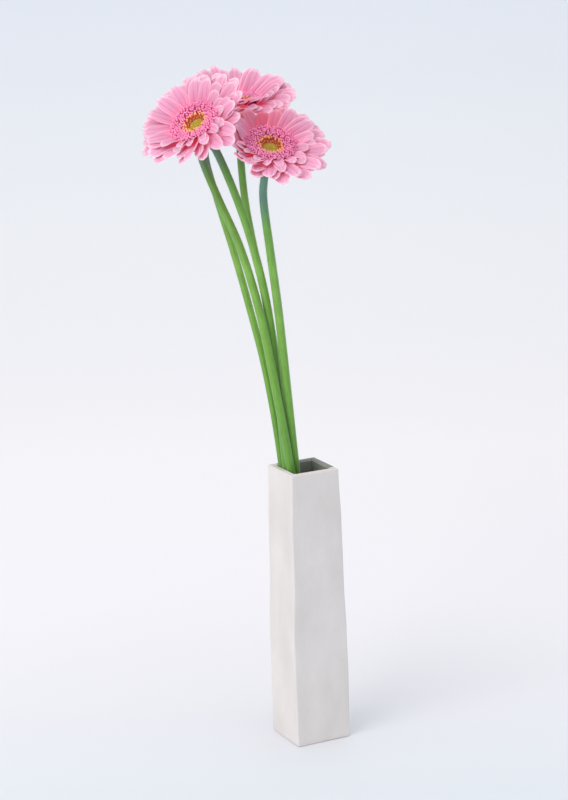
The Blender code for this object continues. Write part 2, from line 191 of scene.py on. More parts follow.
def petalMaterial(name, stops, furrowShadeCode, paintedGlow, roughness):
    # thin moist tissue: light passes through it, so shaded roots and undersides glow coral; this glow is
    # painted on as a coral emission
    made, tree, shader = newMaterial(name, Roughness=roughness, Subsurface_Weight=0.6,
                                     Subsurface_Radius=(1.0, 0.5, 0.5), Subsurface_Scale=1.2 * mm,
                                     Specular_IOR_Level=0.2)
    shader.subsurface_method = "BURLEY"
    space = add(tree, "Attribute", attribute_name="petalSpace").outputs["Vector"]
    along, across, tone = add(tree, "SeparateXYZ", {0: space}).outputs
    body = add(tree, "ValToRGB", {0: along}, stops)
    # painted glow: the petal emits coral light, strongest at the root, in place of light passing through it
    shader.inputs["Emission Color"].default_value = hexColour("#FF687C")
    paintedGlowFade = add(tree, "MapRange", {"Value": along, "From Max": paintedGlow["until"],
                                      "To Min": paintedGlow["root"], "To Max": paintedGlow["tip"]})
    tree.links.new(paintedGlowFade.outputs[0], shader.inputs["Emission Strength"])
    # painted shade in two narrow furrows a third of the way across, strongest near the disc
    angle = add(tree, "Math", {0: across, 1: 3 * pi}, operation="MULTIPLY")
    wave = add(tree, "Math", {0: angle}, operation="COSINE")
    trough = add(tree, "MapRange", {"Value": wave, "From Min": 1, "From Max": -1})
    furrow = add(tree, "Math", {0: trough, 1: 10}, operation="POWER")
    side = add(tree, "Math", {0: across}, operation="ABSOLUTE")
    inner = add(tree, "Math", {0: side, 1: 0.7}, operation="LESS_THAN")
    fade = add(tree, "MapRange", {"Value": along, "To Min": 0.6, "To Max": 0.2})
    depth = add(tree, "Math", {0: furrow, 1: fade}, operation="MULTIPLY")
    depth = add(tree, "Math", {0: depth, 1: inner}, operation="MULTIPLY")
    body = add(tree, "Mix", {0: depth, 6: body, 7: hexColour(furrowShadeCode)}, data_type="RGBA")
    # pale rim
    edge = add(tree, "Math", {0: side, 1: 10}, operation="POWER")
    rim = add(tree, "Math", {0: edge, 1: 0.52}, operation="MULTIPLY")
    body = add(tree, "Mix", {0: rim, 6: body, 7: hexColour("#FCDEEA")}, data_type="RGBA")
    # painted coral light, bounced down from the flower above
    reflected = add(tree, "Attribute", attribute_name="paintedBounceShare").outputs["Fac"]
    body = add(tree, "Mix", {0: reflected, 6: body, 7: hexColour("#D8506E")}, data_type="RGBA")
    # veins about 0.5 mm apart run the whole length; each petal is a little paler or deeper than the next
    spread = add(tree, "VectorMath", {0: space, 1: (1.2, 9, 40)}, operation="MULTIPLY")
    veins = add(tree, "TexNoise", {"Vector": spread, "Scale": 1.6, "Detail": 3})
    veinShade = add(tree, "MapRange", {"Value": veins, "From Min": 0.3, "From Max": 0.7,
                                       "To Min": 0.86, "To Max": 1.05})
    toneShade = add(tree, "MapRange", {"Value": tone, "To Min": 0.93, "To Max": 1.03})
    shade = add(tree, "Math", {0: veinShade, 1: toneShade}, operation="MULTIPLY")
    body = add(tree, "Mix", {0: 1.0, 6: body, 7: shade}, data_type="RGBA", blend_type="MULTIPLY")
    bump = add(tree, "Bump", {"Height": veins, "Distance": 0.15 * mm, "Strength": 0.6})
    tree.links.new(body.outputs[2], shader.inputs["Base Color"])
    tree.links.new(bump.outputs[0], shader.inputs["Normal"])
    return made


def floretMaterial(name, stops, innerStops, roughness):
    # small juicy tubes, darker toward their feet as painted shade between them and pale at their mouths; the
    # innermost take their own colours
    made, tree, shader = newMaterial(name, Roughness=roughness, Subsurface_Weight=0.4,
                                     Subsurface_Radius=(1.0, 0.4, 0.4), Subsurface_Scale=0.8 * mm,
                                     Specular_IOR_Level=0.3)
    shader.subsurface_method = "BURLEY"
    space = add(tree, "Attribute", attribute_name="floretSpace").outputs["Vector"]
    up, outward, tone = add(tree, "SeparateXYZ", {0: space}).outputs
    outer = add(tree, "ValToRGB", {0: up}, stops)
    inner = add(tree, "ValToRGB", {0: up}, innerStops)
    body = add(tree, "Mix", {0: outward, 6: inner, 7: outer}, data_type="RGBA")
    toneShade = add(tree, "MapRange", {"Value": tone, "To Min": 0.84, "To Max": 1.08})
    body = add(tree, "Mix", {0: 1.0, 6: body, 7: toneShade}, data_type="RGBA", blend_type="MULTIPLY")
    tree.links.new(body.outputs[2], shader.inputs["Base Color"])
    return made


def stemMaterial(name, stops):
    # fibrous skin under fine down, which pales its edges; stemSpace holds the place round the stem as
    # cosine and sine, then the length along it in mm
    made, tree, shader = newMaterial(name, Roughness=0.48, Sheen_Weight=0.9, Sheen_Roughness=0.35,
                                     Sheen_Tint=hexColour("#E4F4DC"), Specular_IOR_Level=0.4)
    space = add(tree, "Attribute", attribute_name="stemSpace").outputs["Vector"]
    tint = add(tree, "Attribute", attribute_name="stemTint").outputs["Vector"]
    share, cool = add(tree, "SeparateXYZ", {0: tint}).outputs[:2]
    body = add(tree, "ValToRGB", {0: share}, stops)
    # painted shade under the flower turns the green bluish
    headShadeStart = add(tree, "Math", {0: cool, 1: 0.05}, operation="SUBTRACT")
    headShade = add(tree, "MapRange", {"Value": share, "From Min": headShadeStart, "From Max": cool})
    body = add(tree, "Mix", {0: headShade, 6: body, 7: hexColour("#5E8C78")}, data_type="RGBA")
    # streaks about 0.6 mm wide and 13 mm long, over blotches about 17 mm long
    stretched = add(tree, "VectorMath", {0: space, 1: (3.0, 3.0, 0.035)}, operation="MULTIPLY")
    streaks = add(tree, "TexNoise", {"Vector": stretched, "Scale": 2.2, "Detail": 4})
    streakShade = add(tree, "MapRange", {"Value": streaks, "From Min": 0.3, "From Max": 0.7,
                                         "To Min": 0.78, "To Max": 1.16})
    blotch = add(tree, "TexNoise", {"Vector": space, "Scale": 0.06, "Detail": 2})
    blotchShade = add(tree, "MapRange", {"Value": blotch, "From Min": 0.3, "From Max": 0.7,
                                         "To Min": 0.90, "To Max": 1.08})
    shade = add(tree, "Math", {0: streakShade, 1: blotchShade}, operation="MULTIPLY")
    body = add(tree, "Mix", {0: 1.0, 6: body, 7: shade}, data_type="RGBA", blend_type="MULTIPLY")
    bump = add(tree, "Bump", {"Height": streaks, "Distance": 0.25 * mm, "Strength": 0.6})
    tree.links.new(body.outputs[2], shader.inputs["Base Color"])
    tree.links.new(bump.outputs[0], shader.inputs["Normal"])
    return made


def clayMaterial(name, mainCode, shadeCode, roughness):
    # unglazed white stoneware, slab built: matte, faintly blotched, with a fine tooth
    made, tree, shader = newMaterial(name, Roughness=roughness, IOR=1.5, Specular_IOR_Level=0.35)
    place = add(tree, "TexCoord").outputs["Object"]
    smear = add(tree, "VectorMath", {0: place, 1: (1, 1, 0.45)}, operation="MULTIPLY")
    cloud = add(tree, "TexNoise", {"Vector": smear, "Scale": 1 / (30 * mm), "Detail": 5, "Roughness": 0.55})
    cloudShare = add(tree, "MapRange", {"Value": cloud, "From Min": 0.35, "From Max": 0.75})
    body = add(tree, "Mix", {0: cloudShare, 6: hexColour(mainCode), 7: hexColour(shadeCode)},
               data_type="RGBA")
    specks = add(tree, "TexNoise", {"Vector": place, "Scale": 1 / (1.6 * mm), "Detail": 2})
    speckShade = add(tree, "MapRange", {"Value": specks, "From Min": 0.28, "From Max": 0.40,
                                        "To Min": 0.965, "To Max": 1.0})
    body = add(tree, "Mix", {0: 1.0, 6: body, 7: speckShade}, data_type="RGBA", blend_type="MULTIPLY")
    tooth = add(tree, "TexNoise", {"Vector": place, "Scale": 1 / (0.9 * mm), "Detail": 3})
    dents = add(tree, "TexNoise", {"Vector": smear, "Scale": 1 / (14 * mm), "Detail": 3})
    height = add(tree, "Math", {0: dents, 1: 3.0, 2: tooth}, operation="MULTIPLY_ADD")
    bump = add(tree, "Bump", {"Height": height, "Distance": 0.10 * mm, "Strength": 0.55})
    tree.links.new(body.outputs[2], shader.inputs["Base Color"])
    tree.links.new(bump.outputs[0], shader.inputs["Normal"])
    return made


def waterMaterial():
    # clear tap water with a trace of green from the stems
    made, tree, shader = newMaterial("clearWater", Roughness=0.02, IOR=1.333, Transmission_Weight=1.0,
                                     Base_Color=hexColour("#EEF6EE"))
    place = add(tree, "TexCoord").outputs["Object"]
    ripple = add(tree, "TexNoise", {"Vector": place, "Scale": 1 / (12 * mm), "Detail": 1})
    bump = add(tree, "Bump", {"Height": ripple, "Distance": 0.2 * mm, "Strength": 0.2})
    tree.links.new(bump.outputs[0], shader.inputs["Normal"])
    return made


def paperMaterial(stops):
    # matte studio paper; its colours paint the light falling off toward the lens and up the sweep
    made, tree, shader = newMaterial("seamlessPaper", Roughness=0.9, Specular_IOR_Level=0.2)
    share = add(tree, "Attribute", attribute_name="sweepShare").outputs["Fac"]
    body = add(tree, "ValToRGB", {0: share}, stops)
    tree.links.new(body.outputs[0], shader.inputs["Base Color"])
    return made


# colours from root to tip, and the painted glow, a coral emission standing in for light through the petal,
# at its root and tip
# the upper faces' deep roots are partly their own colour and partly painted shade of the gaps between petals
upperStops = [(0.0, "#CE4266"), (0.25, "#D86A92"), (0.55, "#D88CB0"), (0.90, "#DCA4C1"), (1.0, "#F0CEDF")]
# the undersides' coral is partly their own colour and partly painted glow of light through the petal
underStops = [(0.0, "#F4606C"), (0.35, "#F48498"), (0.8, "#EEA0B6"), (1.0, "#F4C6D6")]
upperPaintedGlow = dict(root=0.22, tip=0.015, until=0.6)
underPaintedGlow = dict(root=0.37, tip=0.05, until=1.0)
petalUpper = petalMaterial("petalUpper", upperStops, "#B83A70", upperPaintedGlow, 0.5)
petalUnder = petalMaterial("petalUnder", underStops, "#D8607C", underPaintedGlow, 0.6)
# each ramp runs from a deep foot, painted shade between the florets, to a pale mouth
pinkStops = [(0.0, "#B00C50"), (0.45, "#DC2C7A"), (0.78, "#F26EAE"), (1.0, "#FDBCDC")]
orangeStops = [(0.0, "#B8502E"), (0.50, "#E27E4C"), (0.80, "#F0A45E"), (1.0, "#F8D284")]
floretPink = floretMaterial("floretPink", pinkStops, orangeStops, 0.45)
budStops = [(0.0, "#8A6A1C"), (0.50, "#C2A83C"), (1.0, "#E8D66C")]
budGreen = floretMaterial("budGreen", budStops, budStops, 0.55)
# stem colours from foot to neck: darker low down, painted shade inside the vase, and darker toward the top,
# painted shade under the flower
stemStops = [(0.0, "#4E7F30"), (0.42, "#629A3A"), (0.60, "#74A942"), (0.76, "#7DB04C"), (0.87, "#70A846"),
             (0.94, "#588E40"), (1.0, "#4A7C46")]
calyxStops = [(0.0, "#4C7440"), (0.6, "#5E8A48"), (0.92, "#6F8A50"), (1.0, "#7A5A56")]
stemSkin = stemMaterial("stemSkin", stemStops)
calyxSkin = stemMaterial("calyxSkin", calyxStops)
clayOutside = clayMaterial("bisqueClay", "#E5E0DD", "#D9D3D0", 0.78)
# a darker copy of the same clay: painted shade for the vase's inside and its far rim
clayInsideShade = clayMaterial("bisqueClayPaintedShade", "#8E918A", "#7D817A", 0.7)


# Petals

# start and span: the radius where the bend from root angle to tip angle begins, and its length, in mm.
# nearMiddle and nearSlope: how the near side passes into the far side. shortRow: rows that reach
# less far than this share stand cupped.
petalBend = dict(rootRadius=8.8, start=18, span=14, steps=40, shingle=6, curlStart=0.6, nearMiddle=0.7,
                 nearSlope=0.9, shortRow=0.8, dipPower=12, bouncePower=6)
# what is drawn for each petal: degrees, shares of its size, and mm for sweep and wave
petalSpread = dict(turn=(-2.5, 2.5), reach=(0.96, 1.02), lift=(-3.0, 3.0), width=(0.9, 1.0), roll=(-3, 7),
                   twist=(-8, 8), sweep=(-1.6, 1.6), wave=(0.2, 0.9), curl=(-14, 10))
# reach, width, tip angle and curl on the near side, then reach, width and tip angle on the far side
petalRows = [
    dict(count=13, offset=0, reach=1.00, root=-8.0, rootAngle=15, tipAngle=13, width=14.5, curl=0,
         farReach=1.00, farWidth=18.8, farTip=13.5),
    dict(count=13, offset=0.5, reach=0.96, root=-6.9, rootAngle=19, tipAngle=18, width=13.5, curl=-10,
         farReach=0.98, farWidth=18.4, farTip=14.5),
    dict(count=9, offset=0, reach=0.74, root=-5.9, rootAngle=23, tipAngle=24, width=11.0, curl=-45,
         farReach=0.96, farWidth=16.0, farTip=15),
    dict(count=16, offset=0.5, reach=0.64, root=-5.2, rootAngle=26, tipAngle=31, width=9.5, curl=-70,
         farReach=0.94, farWidth=14.0, farTip=15.5),
    dict(count=15, offset=0.25, reach=0.90, root=-7.4, rootAngle=17, tipAngle=15.5, width=12.5, curl=-5,
         farReach=0.97, farWidth=16.0, farTip=14),
]
petalShape = dict(along=16, across=12, thickness=0.42, rib=0.20, cup=0.15, round=0.10, teeth=0.010,
                  claw=0.50, clawLength=0.48, endStart=0.80, endTaper=0.15)
slab = slabMesh(petalShape["along"], petalShape["across"])


def petalLift(gerbera, turn):
    # the lift between the two nearest of the eight directions
    place = (turn / (2 * pi) % 1) * 8
    i = int(place)
    t = (1 - cos(pi * (place - i))) / 2
    return gerbera["lift"][i] * (1 - t) + gerbera["lift"][(i + 1) % 8] * t


def petalReach(gerbera, turn):
    direction, share = gerbera["longest"]
    dip, depth = gerbera["shortest"]
    close = max(0, cos(turn - radians(dip))) ** petalBend["dipPower"]
    return gerbera["reach"] * (1 + share * cos(turn - radians(direction)) - depth * close)


def petalLine(row, reach, lift, curl):
    # the petal's midline, walked in short steps: radius, height and angle at each
    b = petalBend
    step = (reach - b["rootRadius"]) / b["steps"]
    radius, height, angle = b["rootRadius"], row["root"], row["rootAngle"]
    line = [(radius, height, angle)]
    for k in range(b["steps"]):
        bend = smooth((radius - b["start"]) / b["span"])
        tip = max(0, (k / b["steps"] - b["curlStart"]) / (1 - b["curlStart"]))
        angle = row["rootAngle"] * (1 - bend) + (row["tipAngle"] + lift) * bend + curl * tip * tip
        radius += step * cos(radians(angle))
        height += step * sin(radians(angle))
        line.append((radius, height, angle))
    return line


def linePoint(line, share):
    place = min(max(share, 0), 0.9999) * (len(line) - 1)
    i = int(place)
    t = place - i
    return [a * (1 - t) + b * t for a, b in zip(line[i], line[i + 1])]


def widthShare(share):
    # narrow claw, then a strap with nearly even sides
    p = petalShape
    strap = p["claw"] + (1 - p["claw"]) * smooth(share / p["clawLength"])
    return strap - p["endTaper"] * smooth((share - p["endStart"]) / (1 - p["endStart"]))


def bendSlab(bm, layers, line, width, look, place, tone):
    # copies the flat slab and bends it into one petal
    first = len(bm.verts)
    bm.from_mesh(slab)
    bm.verts.ensure_lookup_table()
    for v in bm.verts[first:]:
        share, across, side = v.co.x + 0.5, v.co.y * 2, v.co.z * 2
        # rounded end with three shallow teeth
        teeth = look["teeth"] * (0.5 - 0.5 * cos(3 * pi * (across + 1 / 3)))
        end = 1 - look["round"] * across ** 2 - 0.35 * look["round"] * across ** 6 - teeth
        reached = share * (1 - (1 - end) * share ** 2)
        radius, height, angle = linePoint(line, reached)
        half = width / 2 * widthShare(share)
        fade = sin(pi * min(1, 0.12 + 0.80 * share))
        rise = look["rib"] * cos(3 * pi * across) * fade
        rise += half * look["cup"] * across * across * (1 - 0.5 * share)
        rise += look["wave"] * sin(2 * pi * (1.3 * share + look["phase"])) * across * abs(across) * share
        thick = look["thickness"] * (1 - 0.45 * across * across) * (1 - 0.4 * share)
        rise += side * thick / 2
        roll = radians(look["roll"] * min(1, 2 * share) + look["twist"] * share)
        sweep = look["sweep"] * share * share
        sideways = across * half * cos(roll) - rise * sin(roll) + sweep
        upward = across * half * sin(roll) + rise * cos(roll)
        a = radians(angle)
        v.co = place @ Vector((radius - upward * sin(a), sideways, height + upward * cos(a))) * mm
        v[layers[0]] = (share, across, tone)
        v[layers[1]] = look["reflected"]


def buildPetals(gerbera):
    draw = Random(gerbera["seed"])  # the first three rows draw what the solids' petals draw
    fine = Random(gerbera["seed"] + 500)
    spread = petalSpread
    bm = bmesh.new()
    space = bm.verts.layers.float_vector.new("petalSpace")
    layers = (space, bm.verts.layers.float.new("paintedBounceShare"))
    head = headFrame(gerbera)
    for row in petalRows:
        for k in range(row["count"]):
            aside = radians(gerbera["turn"] + draw.uniform(*spread["turn"]))
            turn = (k + row["offset"]) * 2 * pi / row["count"] + aside
            toFront = cos(turn - radians(gerbera["near"]))
            near = smooth(petalBend["nearMiddle"] + petalBend["nearSlope"] * toFront)
            share = row["reach"] * near + row["farReach"] * (1 - near)
            reach = petalReach(gerbera, turn) * share * draw.uniform(*spread["reach"])
            lift = petalLift(gerbera, turn) + draw.uniform(*spread["lift"])
            if row["reach"] < petalBend["shortRow"]:
                lift += gerbera["cupped"] * near
            width = (row["width"] * near + row["farWidth"] * (1 - near)) * draw.uniform(*spread["width"])
            tip = row["tipAngle"] * near + row["farTip"] * (1 - near)
            look = dict(petalShape, roll=petalBend["shingle"] + fine.uniform(*spread["roll"]),
                        twist=fine.uniform(*spread["twist"]), sweep=fine.uniform(*spread["sweep"]),
                        wave=fine.uniform(*spread["wave"]), phase=fine.random())
            look["roll"] += gerbera["rolled"] * cos(turn)
            # painted bounce light: how much coral light from the flower above falls on this petal
            direction, strength = gerbera["under"]
            beneath = max(0, cos(turn - radians(direction)))
            look["reflected"] = strength * beneath ** petalBend["bouncePower"]
            curl = fine.uniform(*spread["curl"]) + near * row["curl"]
            line = petalLine(dict(row, tipAngle=tip), reach, lift, curl)
            place = head @ Matrix.Rotation(turn, 4, "Z")
            bendSlab(bm, layers, line, width, look, place, fine.random())
    name = gerbera["place"]
    piece = finishPiece(bm, name + "_petalRows", [petalUpper, petalUnder], "petal", name + "_petals")
    print("petals:", name, len(piece.data.polygons), "faces")


# underside faces of the flat slab take the second material
for face in slab.polygons:
    face.material_index = 1 if face.normal.z < -0.5 else 0
for gerbera in gerberas:
    buildPetals(gerbera)


# Disc florets

# profiles give radius and height, in mm; the beds are the cushions that the florets and buds stand in
discProfile = [(7.4, -2.2), (10.2, -0.6), (14.0, 0.8), (18.2, 1.6), (22.0, 1.8)]
discBed = [(7.5, -4.2), (7.5, -2.9), (10.2, -1.4), (14.0, -0.2), (18.2, 0.5), (21.2, 0.4), (21.0, -0.4),
           (10.0, -4.2), (7.5, -4.2)]
eyeBed = [(0, -2.9), (3.0, -3.1), (6.0, -3.6), (6.6, -4.5), (0, -4.5)]
floretSettings = dict(spacing=1.86, outer=21.6, orange=9.7, eye=7.2, seat=1.6, blur=1.2, blend=2.2,
                      lean=0.18, aside=0.22, budLength=(1.9, 2.4), budWidth=1.25, tubeLength=(3.2, 4.4),
                      tubeWidth=(1.20, 1.55))
eyeSettings = dict(spacing=1.18, outer=6.7, top=-3.6, dome=0.012, lean=-0.03, length=(1.8, 2.3), width=0.95)
# each floret stands the golden angle on from the last, and scale keeps neighbours one spacing apart
spiral = dict(golden=radians(137.508), scale=0.56)


def discHeight(radius):
    if radius <= discProfile[0][0]:
        return discProfile[0][1] - 0.5 * (1 - radius / discProfile[0][0])
    for (r0, z0), (r1, z1) in zip(discProfile, discProfile[1:]):
        if radius <= r1:
            return z0 + (z1 - z0) * (radius - r0) / (r1 - r0)
    return discProfile[-1][1]


def trumpetMesh():
    # one open floret, 1 unit high: a tube that flares into a four-lobed mouth
    bm = bmesh.new()
    bmesh.ops.create_cone(bm, cap_ends=True, segments=8, radius1=0.34, radius2=0.50, depth=1)
    bmesh.ops.translate(bm, verts=bm.verts, vec=(0, 0, 0.5))
    bm.faces.ensure_lookup_table()
    mouth = max(bm.faces, key=lambda f: f.calc_center_median().z)
    rim = list(mouth.verts)
    bmesh.ops.inset_individual(bm, faces=[mouth], thickness=0.22)
    for v in mouth.verts:
        v.co.z -= 0.16
    for k, v in enumerate(rim):
        lobe = k % 2
        v.co.xy *= 1.42 if lobe else 0.92
        v.co.z += 0.02 if lobe else -0.07
    mesh = bpy.data.meshes.new("trumpet")
    bm.to_mesh(mesh)
    bm.free()
    return mesh


def budMesh(sides):
    # a closed bud, 1 unit high: a short rounded cone
    bm = bmesh.new()
    bmesh.ops.create_cone(bm, cap_ends=True, segments=sides, radius1=0.50, radius2=0.42, depth=0.7)
    bmesh.ops.translate(bm, verts=bm.verts, vec=(0, 0, 0.35))
    top = max(bm.faces, key=lambda f: f.calc_center_median().z)
    poked = bmesh.ops.poke(bm, faces=[top])
    poked["verts"][0].co.z += 0.3
    mesh = bpy.data.meshes.new("bud")
    bm.to_mesh(mesh)
    bm.free()
    return mesh


trumpet = trumpetMesh()
bud = budMesh(6)


def addFloret(bm, layer, source, base, direction, length, width, spin, pink, tone):
    # copies one floret to its seat and leans it
    turn = direction.to_track_quat("Z", "Y").to_matrix() @ Matrix.Rotation(spin, 3, "Z")
    for v in join(bm, source, 0):
        share = v.co.z
        v.co = base + turn @ Vector((v.co.x * width, v.co.y * width, share * length))
        v[layer] = (min(1, max(0, share)), pink, tone)


def spiralPlaces(spacing, inner, outer):
    # radius and direction of each place in a ring that the spiral fills evenly
    places = []
    k = 0
    while True:
        radius = spacing * sqrt(k + 0.5) * spiral["scale"]
        if radius > outer:
            return places
        if radius >= inner:
            places.append((radius, k * spiral["golden"]))
        k += 1


def buildFlorets(gerbera):
    draw = Random(gerbera["seed"] + 900)
    place = headFrame(gerbera)
    bm = bmesh.new()
    layer = bm.verts.layers.float_vector.new("floretSpace")
    s = floretSettings
    # the bed under the florets takes the ramp's dark foot colour: painted shade
    for v in join(bm, turned(discBed, 28), 0):
        v[layer] = (0.1, smooth((v.co.xy.length - 8) / 4), 0.5)
    for radius, turn in spiralPlaces(s["spacing"], s["eye"] + 0.2, s["outer"]):
        outward = Vector((cos(turn), sin(turn), 0))
        share = (radius - s["eye"]) / (s["outer"] - s["eye"])
        base = outward * radius + Vector((0, 0, discHeight(radius) - s["seat"]))
        pink = smooth((radius - s["orange"] + draw.uniform(-s["blur"], s["blur"])) / s["blend"])
        closed = radius < s["orange"] - 1
        # the innermost lean in over the eye, the outer ones lean out
        lean = (-0.30 + 1.4 * share if closed else 0.05 + 0.55 * share) + draw.uniform(-s["lean"], s["lean"])
        side = draw.uniform(-s["aside"], s["aside"])
        direction = Vector((outward.x * lean - outward.y * side, outward.y * lean + outward.x * side, 1))
        length = draw.uniform(*s["budLength"]) + 3 * share if closed else draw.uniform(*s["tubeLength"])
        width = s["budWidth"] if closed else draw.uniform(*s["tubeWidth"])
        addFloret(bm, layer, bud if closed else trumpet, base, direction.normalized(), length, width,
                  draw.uniform(0, 2 * pi), pink, draw.random())
    bmesh.ops.transform(bm, matrix=Matrix.Scale(mm, 4) @ place, verts=bm.verts)
    name = gerbera["place"]
    piece = finishPiece(bm, name + "_discFlorets", [floretPink], "floret", name + "_florets")
    print("florets:", name, len(piece.data.polygons), "faces")


def buildEye(gerbera):
    draw = Random(gerbera["seed"] + 1300)
    place = headFrame(gerbera)
    bm = bmesh.new()
    layer = bm.verts.layers.float_vector.new("floretSpace")
    s = eyeSettings
    # the eye's bed takes a darker colour low on the ramp: painted shade under the buds
    for v in join(bm, turned(eyeBed, 28), 0):
        v[layer] = (0.4, 0, 0.5)
    for radius, turn in spiralPlaces(s["spacing"], 0, s["outer"]):
        outward = Vector((cos(turn), sin(turn), 0))
        base = outward * radius + Vector((0, 0, s["top"] - s["dome"] * radius * radius))
        lean = s["lean"] * radius
        direction = Vector((outward.x * lean, outward.y * lean, 1)).normalized()
        addFloret(bm, layer, bud, base, direction, draw.uniform(*s["length"]), s["width"],
                  draw.uniform(0, 2 * pi), 0, draw.random())
    bmesh.ops.transform(bm, matrix=Matrix.Scale(mm, 4) @ place, verts=bm.verts)
    name = gerbera["place"]
    finishPiece(bm, name + "_greenEye", [budGreen], "eye", name + "_eye")


for gerbera in gerberas:
    buildFlorets(gerbera)
    buildEye(gerbera)


# Stems, calyxes and their hairs

stemSettings = dict(points=90, foot=8.4, sides=20, ribs=5, ribDepth=0.035, taperStart=0.45, topRadius=3.2,
                    neckDepth=22, plate=-9.2)
noHeadShade = 2  # painted shade that would start at twice the stem's length never shows
bowlProfile = [(0, -9.2), (11.0, -9.2), (11.4, -10.4), (9.4, -14.4), (6.4, -18.4), (3.9, -22.5), (0, -22.8)]
bractRows = [  # foot and tip give radius and height
    dict(count=13, foot=(4.6, -21.6), tip=(8.2, -13.2), width=3.0, bulge=1.4),
    dict(count=16, foot=(6.6, -19.0), tip=(11.9, -10.2), width=3.4, bulge=1.6),
    dict(count=20, foot=(9.0, -15.4), tip=(14.2, -8.9), width=3.4, bulge=1.5),
]
bractShape = dict(free=(-0.3, 0.7), outward=0.7, downward=0.5, tip=0.08, keel=0.35, thickness=0.22,
                  hollow=0.05)
hairSettings = dict(count=700, length=1.1, width=0.07, point=0.01, start=0.42, end=0.97, lean=(-0.5, 0.9),
                    lengths=(0.6, 1.2), stand=0.4)
bractSlab = slabMesh(7, 4)


def smoothRoute(points, count):
    # count points along a Catmull-Rom curve through the route's own points
    points = [Vector(p) for p in points]
    ends = [points[0] * 2 - points[1], *points, points[-1] * 2 - points[-2]]
    route = []
    spans = len(points) - 1
    for k in range(count):
        place = k * spans / (count - 1)
        i = min(int(place), spans - 1)
        t = place - i
        a, b, c, d = ends[i:i + 4]
        route.append(0.5 * (2 * b + (c - a) * t + (2 * a - 5 * b + 4 * c - d) * t ** 2
                            + (3 * b - a - 3 * c + d) * t ** 3))
    return route


def ringFrames(route):
    # a frame at each point of the route that turns as little as it can
    frames = []
    side = Vector((1, 0, 0))
    for k, point in enumerate(route):
        ahead = (route[min(k + 1, len(route) - 1)] - route[max(k - 1, 0)]).normalized()
        side = (side - ahead * side.dot(ahead)).normalized()
        frames.append((point, side.copy(), ahead.cross(side)))
    return frames


def buildStem(gerbera):
    s = stemSettings
    draw = Random(gerbera["seed"] + 1700)
    place = headFrame(gerbera)
    neck = place @ Vector((0, 0, -s["neckDepth"]))
    inside = place @ Vector((0, 0, s["plate"] - 4))
    route = smoothRoute([Vector(p) for p in gerbera["route"]] + [neck, inside], s["points"])
    route = [route[0].lerp(route[1], (s["foot"] - route[0].z) / (route[1].z - route[0].z))] + route[1:]
    frames = ringFrames(route)
    bm = bmesh.new()
    space = bm.verts.layers.float_vector.new("stemSpace")
    tint = bm.verts.layers.float_vector.new("stemTint")
    ring = bmesh.ops.create_circle(bm, cap_ends=True, segments=s["sides"], radius=1)["verts"]
    phase = draw.uniform(0, 2 * pi)
    total = sum((b[0] - a[0]).length for a, b in zip(frames, frames[1:]))
    length = 0.0
    skin = []
    for k, (point, side, other) in enumerate(frames):
        if k:
            length += (point - frames[k - 1][0]).length
            edges = [e for e in bm.edges if e.verts[0] in ringSet and e.verts[1] in ringSet]
            made = bmesh.ops.extrude_edge_only(bm, edges=edges)["geom"]
            ring = [g for g in made if isinstance(g, bmesh.types.BMVert)]
            ring.sort(key=lambda v: order[tuple(v.co)])
        share = k / (len(frames) - 1)
        taper = max(0, share - s["taperStart"]) / (1 - s["taperStart"])
        radius = gerbera["footRadius"] * (1 - taper) + s["topRadius"] * taper
        for j, v in enumerate(ring):
            angle = 2 * pi * j / s["sides"]
            bulge = 1 + s["ribDepth"] * cos(s["ribs"] * angle + phase)
            v.co = point + (side * cos(angle) + other * sin(angle)) * radius * bulge
            v[space] = (cos(angle), sin(angle), length)
            v[tint] = (length / total, gerbera["cool"], 0)
        order = {tuple(v.co): j for j, v in enumerate(ring)}
        ringSet = set(ring)
        skin.append((point, side, other, radius, length / total, length))
    bmesh.ops.recalc_face_normals(bm, faces=bm.faces)
    addCalyx(bm, space, tint, place, draw)
    addHairs(bm, space, tint, skin, draw)
    bmesh.ops.scale(bm, vec=(mm, mm, mm), verts=bm.verts)
    name = gerbera["place"]
    piece = finishPiece(bm, name + "_greenStem", [stemSkin, calyxSkin], "stem", name + "_stem")
    print("stem:", name, len(piece.data.polygons), "faces")


def addCalyx(bm, space, tint, place, draw):
    # smooth bowl under the flower and three rows of pointed bracts lying on it
    for v in join(bm, turned(bowlProfile, 30), 1):
        v[space] = (v.co.x * 0.2, v.co.y * 0.2, v.co.z)
        v[tint] = (0.1, noHeadShade, 0)
        v.co = place @ v.co
    for row in bractRows:
        for k in range(row["count"]):
            turn = (k + draw.uniform(-0.15, 0.15)) * 2 * pi / row["count"]
            addBract(bm, space, tint, row, turn, place, draw)


def addBract(bm, space, tint, row, turn, place, draw):
    # pointed scale from its foot on the bowl to its free tip
    b = bractShape
    (r0, z0), (r1, z1) = row["foot"], row["tip"]
    out = draw.uniform(*b["free"])
    stand = place @ Matrix.Rotation(turn, 4, "Z")
    for v in join(bm, bractSlab, 1):
        share, across, side = v.co.x + 0.5, v.co.y * 2, v.co.z * 2
        bow = sin(pi * share) * row["bulge"]
        radius = r0 + (r1 - r0 + out) * share + bow * b["outward"]
        height = z0 + (z1 - z0) * share - bow * b["downward"]
        half = row["width"] / 2 * (1 - share ** 2.2) * (0.75 + 0.5 * sin(pi * share)) + b["tip"]
        keel = b["keel"] * (1 - abs(across)) + side * b["thickness"] * (1 - 0.6 * abs(across))
        outside = radius + keel * 0.8 - b["hollow"] * half * across * across
        v.co = stand @ Vector((outside, across * half, height - keel * 0.5))
        v[space] = (across, turn, share * 12)
        v[tint] = (share, noHeadShade, 0)


